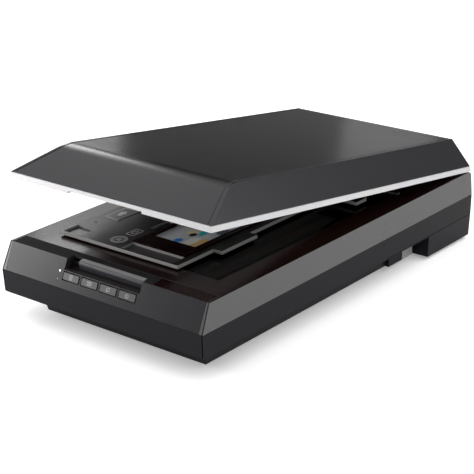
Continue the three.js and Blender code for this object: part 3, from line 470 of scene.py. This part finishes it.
MATERIALS = {
    "tray_plastic": moulded("tray_plastic", (0.006, 0.006, 0.0078), 0.40, specular=0.09),
    # Painted light: the cover's sides are painted pale grey and its upward faces near-black, for light on
    # the sides and shade on the tops.
    "cover_plastic": moulded("cover_plastic", (0.085, 0.085, 0.086), 0.26, depth=0.006, specular=0.19,
                             edge_wear_and_highlight=0.0, top=(0.009, 0.003, 0.003), top_roughness=0.16),
    # Painted shade: the panel's upward strip is painted darker than its front.
    "panel_plastic": moulded("panel_plastic", (0.022, 0.022, 0.024), 0.30, grain=0.4, depth=0.008,
                             specular=0.16, top=(0.010, 0.009, 0.010), top_roughness=0.85),
    "button_plastic": capped("button_plastic", (0.054, 0.054, 0.057), 0.38, "button_1",
                             -Vector(JOINTS["button_1_press"]["axis"])),
    # Painted highlight: the grip's upward faces are painted pale, for the light caught by the lip of the
    # finger notch.
    "grip_plastic": moulded("grip_plastic", (0.020, 0.020, 0.026), 0.28, grain=0.4, depth=0.01,
                            top=(0.20, 0.20, 0.20)),
    "lock_plastic": moulded("lock_plastic", (0.21, 0.21, 0.215), 0.45),
    "inner_black": moulded("inner_black", (0.006, 0.003, 0.003), 0.55, specular=0.3),
    "gloss_trim": polished("gloss_trim", (0.006, 0.0006, 0.0005), 0.10, 0.4, IOR=1.22,
                           Specular_Tint=(1.0, 0.55, 0.52, 1)),
    # Painted light: the holder is near-black, its walls are painted pale grey for the light from the
    # right, and its edges are lightened as a painted highlight.
    "holder_plastic": moulded("holder_plastic", (0.30, 0.295, 0.29), 0.30, grain=0.4, depth=0.01,
                              specular=0.12, edge_wear_and_highlight=0.9, worn=(0.42, 0.41, 0.40), top=(0.008, 0.006, 0.006),
                              # Painted reflection: the pocket floors are painted paler grey than the
                              # near-black top.
                              top_roughness=0.30, sunk=(HOLDER_TOP - 1.6 * MM, (0.055, 0.052, 0.052))),
    # Painted shade: the lid's flat top is painted darker than its slope and sides; its edges are lightened
    # as a painted highlight.
    "lid_plastic": moulded("lid_plastic", (0.026, 0.026, 0.0285), 0.25, grain=0.45, depth=0.007,
                           edge_wear_and_highlight=0.8, mottle=0.02, specular=0.14, worn=(0.16, 0.16, 0.165),
                           top=(0.004, 0.004, 0.0052), top_tilt=(0.955, 0.985)),
    "rim_plastic": milky("rim_plastic", (0.53, 0.53, 0.54), 0.38),
    "platen_glass": clear("platen_glass", (0.19, 0.085, 0.08), 0.02, 1.0, 1.14),
    "clear_lens": indicator("clear_lens"),
    "lamp_diffuser": milky("lamp_diffuser", (0.82, 0.83, 0.81), 0.5),
    "mirror": polished("mirror", (0.85, 0.86, 0.87), 0.03, Metallic=1.0),
    "steel": ground_metal("steel", (0.55, 0.56, 0.58), 0.26, (1, 0.08, 1)),
    "brass": ground_metal("brass", (0.60, 0.42, 0.16), 0.3),
    "nylon": milky("nylon", (0.74, 0.72, 0.65), 0.5),
    "post_plastic": moulded("post_plastic", (0.020, 0.020, 0.023), 0.5),
    "rubber": rubber("rubber", (0.012, 0.012, 0.012)),
    "circuit_board": circuit_board("circuit_board", (0.015, 0.12, 0.05)),
    "socket_plastic": moulded("socket_plastic", (0.012, 0.012, 0.013), 0.4),
    "ribbon": ribbon("ribbon", (0.78, 0.78, 0.75)),
    "film": film_picture("film"),
}


# ---------------------------------------------------------------- finish of the CAD nodes
def cleaning_group():
    """Welds the imported facets together, and shades across edges under 30 degrees."""
    group = bpy.data.node_groups.new("weld_and_smooth", "GeometryNodeTree")
    group.interface.new_socket("Geometry", in_out="INPUT", socket_type="NodeSocketGeometry")
    group.interface.new_socket("Geometry", in_out="OUTPUT", socket_type="NodeSocketGeometry")
    add = group.nodes.new
    entry = add("NodeGroupInput")
    weld = add("GeometryNodeMergeByDistance")
    weld.inputs["Distance"].default_value = 0.002 * MM
    strip = add("GeometryNodeRemoveAttribute")
    strip.inputs["Name"].default_value = "custom_normal"
    smooth_faces = add("GeometryNodeSetShadeSmooth")
    smooth_faces.domain = "FACE"
    smooth_faces.inputs["Shade Smooth"].default_value = True
    angle = add("GeometryNodeInputMeshEdgeAngle")
    soft = add("FunctionNodeCompare")
    soft.operation = "LESS_THAN"
    soft.inputs[1].default_value = math.radians(30)
    smooth_edges = add("GeometryNodeSetShadeSmooth")
    smooth_edges.domain = "EDGE"
    leave = add("NodeGroupOutput")
    link = group.links.new
    link(entry.outputs[0], weld.inputs["Geometry"])
    link(weld.outputs["Geometry"], strip.inputs["Geometry"])
    link(strip.outputs["Geometry"], smooth_faces.inputs["Geometry"])
    link(smooth_faces.outputs["Geometry"], smooth_edges.inputs["Geometry"])
    link(angle.outputs["Unsigned Angle"], soft.inputs[0])
    link(soft.outputs["Result"], smooth_edges.inputs["Shade Smooth"])
    link(smooth_edges.outputs["Geometry"], leave.inputs[0])
    return group


CLEAN = cleaning_group()
PIERCED = {"front_panel", "film_holder"}  # flat faces with many windows keep their triangles
FLAT_ANGLE = math.radians(0.4)
ROUNDED_ANGLE = math.radians(28)


def soften(node, width):
    """Gives a CAD node welded, smooth-shaded surfaces and small rounded edges."""
    node.modifiers.new("clean", "NODES").node_group = CLEAN
    if width:
        if node.name not in PIERCED:
            flat = node.modifiers.new("flatten", "DECIMATE")
            flat.decimate_type = "DISSOLVE"
            flat.angle_limit = FLAT_ANGLE
        bevel = node.modifiers.new("round", "BEVEL")
        bevel.width = width * MM
        bevel.segments = 2
        bevel.limit_method = "ANGLE"
        bevel.angle_limit = ROUNDED_ANGLE
        bevel.harden_normals = True
        bevel.miter_outer = "MITER_ARC"
    weighted = node.modifiers.new("even", "WEIGHTED_NORMAL")
    weighted.keep_sharp = True


EDGE_ROUND = {  # mm; nodes not listed get none
    "base_tray": 0.7, "upper_cover": 0.6, "front_panel": 0.5, "gloss_insert": 0.3, "grip_recess": 0.3,
    "grip_bar": 0.5, "button_1": 0.35, "button_2": 0.35, "button_3": 0.35, "button_4": 0.35,
    "transport_lock": 0.3, "dc_inlet": 0.3, "usb_port": 0.3, "option_port": 0.3,
    "carriage_housing": 0.6, "rod_bush": 0.4, "belt_clamp": 0.3, "slide_rail": 0.3,
    "rod_support_front": 0.4, "rod_support_rear": 0.4, "motor_bracket": 0.3,
    "hinge_socket_left": 0.4, "hinge_socket_right": 0.4, "hinge_post_left": 0.4, "hinge_post_right": 0.4,
    "hinge_arm_left": 0.4, "hinge_arm_right": 0.4, "lid_side_left": 0.8, "lid_side_right": 0.8,
    "lid_cover": 0.8, "lid_rim": 0.7, "lid_inner_panel": 0.5, "film_holder": 0.35,
    "film_holder_cover": 0.3, "main_board": 0.2, "sensor_board": 0.2, "panel_board": 0.2,
    "lamp_window": 0.2, "backlight": 0.4, "scan_lamp": 0.4, "platen_glass": 0.3,
}

for node_name, node in NODES.items():
    node.material_slots[0].material = MATERIALS[SLOT_OF[node_name]]
    soften(node, EDGE_ROUND.get(node_name, 0.0))


# ---------------------------------------------------------------- extra pieces
def mesh_piece(name, build, material, body):
    """A new piece from a function that fills a bmesh, riding on a CAD body."""
    mesh = bpy.data.meshes.new(name)
    bm = bmesh.new()
    build(bm)
    bmesh.ops.recalc_face_normals(bm, faces=bm.faces)
    bm.to_mesh(mesh)
    bm.free()
    piece = bpy.data.objects.new(name, mesh)
    bpy.context.scene.collection.objects.link(piece)
    piece.data.materials.append(material)
    for face in mesh.polygons:
        face.use_smooth = False
    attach(piece, body)


def prism(bm, points, place, thickness):
    """A flat outline (x, y pairs in the place's plane) raised by thickness."""
    low = [bm.verts.new(place @ Vector((x, y, 0))) for x, y in points]
    high = [bm.verts.new(place @ Vector((x, y, thickness))) for x, y in points]
    bm.faces.new(low[::-1])
    bm.faces.new(high)
    for i in range(len(points)):
        j = (i + 1) % len(points)
        bm.faces.new((low[i], low[j], high[j], high[i]))


def stroke(bm, points, width, place, thickness, closed=False):
    """A line of even width along the points, as one raised strip."""
    count = len(points)
    vectors = [Vector(p) for p in points]
    left, right = [], []
    for i, point in enumerate(vectors):
        before = vectors[i - 1] if closed or i else point
        after = vectors[(i + 1) % count] if closed or i < count - 1 else point
        way = (after - before).normalized()
        side = Vector((-way.y, way.x)) * width / 2
        if closed or 0 < i < count - 1:
            turn = (point - before).normalized().dot((after - point).normalized())
            side /= max(0.5, math.sqrt((1 + turn) / 2))
        left.append(point + side)
        right.append(point - side)
    rows = []
    for z in (0, thickness):
        rows.append([[bm.verts.new(place @ Vector((p.x, p.y, z))) for p in edge]
                     for edge in (left, right)])
    steps = range(count if closed else count - 1)
    for i in steps:
        j = (i + 1) % count
        (l0, r0), (l1, r1) = rows
        bm.faces.new((l1[i], l1[j], r1[j], r1[i]))
        bm.faces.new((l0[j], l0[i], r0[i], r0[j]))
        bm.faces.new((l0[i], l0[j], l1[j], l1[i]))
        bm.faces.new((r0[j], r0[i], r1[i], r1[j]))
    if not closed:
        for i in (0, count - 1):
            (l0, r0), (l1, r1) = rows
            bm.faces.new((l0[i], r0[i], r1[i], l1[i]))


def ring_points(radius, start=0.0, end=2 * math.pi, steps=28, closed=True):
    count = steps if closed else steps + 1
    return [(radius * math.cos(start + (end - start) * i / steps),
             radius * math.sin(start + (end - start) * i / steps)) for i in range(count)]


def rounded_box(half_x, half_y, radius, steps=4):
    points = []
    for corner, (cx, cy) in enumerate(((1, 1), (-1, 1), (-1, -1), (1, -1))):
        for i in range(steps + 1):
            angle = math.pi / 2 * (corner + i / steps)
            points.append((cx * (half_x - radius) + radius * math.cos(angle),
                           cy * (half_y - radius) + radius * math.sin(angle)))
    return points


def print_ink(name, colour):
    """Pad-printed ink: slightly uneven and worn."""
    s = Shader(name, 0.4)
    patch = s.noise(0.8 * MM, 3)
    s.surface(Base_Color=s.mix(s.span(patch, 0, 1), shaded(colour, 0.8), colour),
              Roughness=s.span(patch, 0.45, 0.6), Normal=s.bump(patch, 0.004 * MM))
    return s.material


INK_THICKNESS = 0.05 * MM
INK = print_ink("pale_ink", (0.50, 0.50, 0.51))
HOLDER_INK = print_ink("holder_ink", (0.72, 0.72, 0.72))


def icon_scan_to_page(bm, place, t):
    stroke(bm, rounded_box(1.7 * MM, 2.2 * MM, 0.3 * MM), 0.35 * MM, place, t, True)
    for y in (-0.8, 0.1, 1.0):
        stroke(bm, [(-0.9 * MM, y * MM), (0.9 * MM, y * MM)], 0.3 * MM, place, t)


def icon_letter(bm, place, t):
    stroke(bm, rounded_box(2.6 * MM, 1.8 * MM, 0.3 * MM), 0.35 * MM, place, t, True)
    stroke(bm, [(-2.1 * MM, 1.2 * MM), (0, -0.3 * MM), (2.1 * MM, 1.2 * MM)], 0.35 * MM, place, t)


def icon_copy(bm, place, t):
    stroke(bm, [(x + 0.6 * MM, y + 0.5 * MM) for x, y in rounded_box(1.4 * MM, 1.7 * MM, 0.2 * MM)],
           0.35 * MM, place, t, True)
    stroke(bm, [(-0.2 * MM - 1.9 * MM, 0.9 * MM), (-2.1 * MM, -2.0 * MM), (0.6 * MM, -2.0 * MM)],
           0.35 * MM, place, t)


def icon_power(bm, place, t):
    gap = math.radians(35)
    arc = ring_points(1.9 * MM, math.pi / 2 + gap, 2.5 * math.pi - gap, 24, False)
    stroke(bm, arc, 0.4 * MM, place, t)
    stroke(bm, [(0, 0.5 * MM), (0, 2.3 * MM)], 0.4 * MM, place, t)


def outer_face(node_name, normal):
    """Place on the outermost face of a node along a normal: X across, Y up the face, Z out."""
    points = [v.co.copy() for v in NODES[node_name].data.vertices]
    reach = max(p.dot(normal) for p in points)
    face = [p for p in points if p.dot(normal) > reach - 0.05 * MM]
    low = Vector([min(p[i] for p in face) for i in range(3)])
    high = Vector([max(p[i] for p in face) for i in range(3)])
    across = Vector((1, 0, 0))
    up = normal.cross(across)
    place = Matrix((across, up, normal)).transposed().to_4x4()
    place.translation = (low + high) / 2
    return place


ICONS = [icon_scan_to_page, icon_letter, icon_copy, icon_power]
for number, icon in enumerate(ICONS, 1):
    outward = -Vector(JOINTS[f"button_{number}_press"]["axis"])
    spot = outer_face(f"button_{number}", outward)
    mesh_piece(f"button_icon_{number}", lambda bm: icon(bm, spot, INK_THICKNESS), INK,
               f"button_{number}")


def flat_spot(x, y, z):
    return Matrix.Translation((x * MM, y * MM, z))


def holder_ring(bm):
    place = flat_spot(-36.6, -168.4, HOLDER_TOP)
    for radius in (8.8, 6.6):
        stroke(bm, ring_points(radius * MM, steps=40), 0.8 * MM, place, INK_THICKNESS, True)
    for y in (-2.2, 0, 2.2):
        stroke(bm, [(-3.4 * MM, y * MM), (3.4 * MM, y * MM)], 0.8 * MM, place, INK_THICKNESS)


def holder_frame(bm):
    place = flat_spot(-36.6, -144.4, HOLDER_TOP) @ Matrix.Rotation(math.pi / 2, 4, "Z")
    stroke(bm, rounded_box(8.2 * MM, 5.2 * MM, 1.4 * MM), 0.9 * MM, place, INK_THICKNESS, True)
    stroke(bm, rounded_box(3.8 * MM, 2 * MM, 0.6 * MM), 0.8 * MM, place, INK_THICKNESS, True)


def holder_pad(bm):
    place = flat_spot(-85.5, -113.2, HOLDER_TOP + PAD_HEIGHT)
    stroke(bm, rounded_box(9.4 * MM, 16 * MM, 1 * MM), 0.8 * MM, place, INK_THICKNESS, True)
    prism(bm, [(-2.6 * MM, -6 * MM), (2.6 * MM, -6 * MM), (2.6 * MM, 1 * MM), (5 * MM, 1 * MM),
               (0, 8 * MM), (-5 * MM, 1 * MM), (-2.6 * MM, 1 * MM)], place, INK_THICKNESS)


HOLDER_MARKS = {"holder_ring": holder_ring, "holder_frame": holder_frame, "holder_pad": holder_pad}
for name, build in HOLDER_MARKS.items():
    mesh_piece(name, build, HOLDER_INK, "film_holder")

make_world(0.03, 1.4)
make_camera()

FLOOR_HALF = 9
floor_mesh = bpy.data.meshes.new("floor")
corners = [(x * FLOOR_HALF, y * FLOOR_HALF, 0) for x, y in ((-1, -1), (1, -1), (1, 1), (-1, 1))]
floor_mesh.from_pydata(corners, [], [(0, 1, 2, 3)])
floor = bpy.data.objects.new("floor", floor_mesh)
bpy.context.scene.collection.objects.link(floor)
floor.location.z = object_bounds()[0].z
paper = Shader("floor_paper", 0.0)
cloud = paper.span(paper.noise(0.5), 0, 1)
paper.surface(Base_Color=paper.mix(cloud, (0.90, 0.90, 0.90), (0.92, 0.92, 0.92)), Roughness=1.0,
              Emission_Color=(1.0, 1.0, 1.0), Emission_Strength=0.28)
floor_mesh.materials.append(paper.material)

LAMPS = (  # name, place, aim, width and height in metres, power in watts
    ("panel_left", (-0.66, -0.62, 0.26), (-0.14, -0.24, 0.07), 0.26, 0.28, 3.4),
    ("fold_left", (-1.023, 0.57, 0.739), (-0.06, -0.167, 0.176), 0.24, 0.22, 2.1),
    ("lid_left", (-0.55, 0.28, 0.27), (-0.12, -0.12, 0.17), 0.16, 0.14, 0.10),
    ("lid_back", (-0.20, 0.60, 0.19), (0.05, 0.18, 0.13), 0.14, 0.12, 0.028),
    ("side_back", (0.62, 0.55, 0.66), (0.14, -0.13, 0.13), 0.35, 0.3, 0.9),
    ("fill_right", (0.70, -0.05, 0.26), (0.14, -0.03, 0.08), 0.4, 0.3, 0.85),
)
for lamp_row in LAMPS:
    softbox(*lamp_row)

bpy.context.scene.view_settings.view_transform = "Standard"
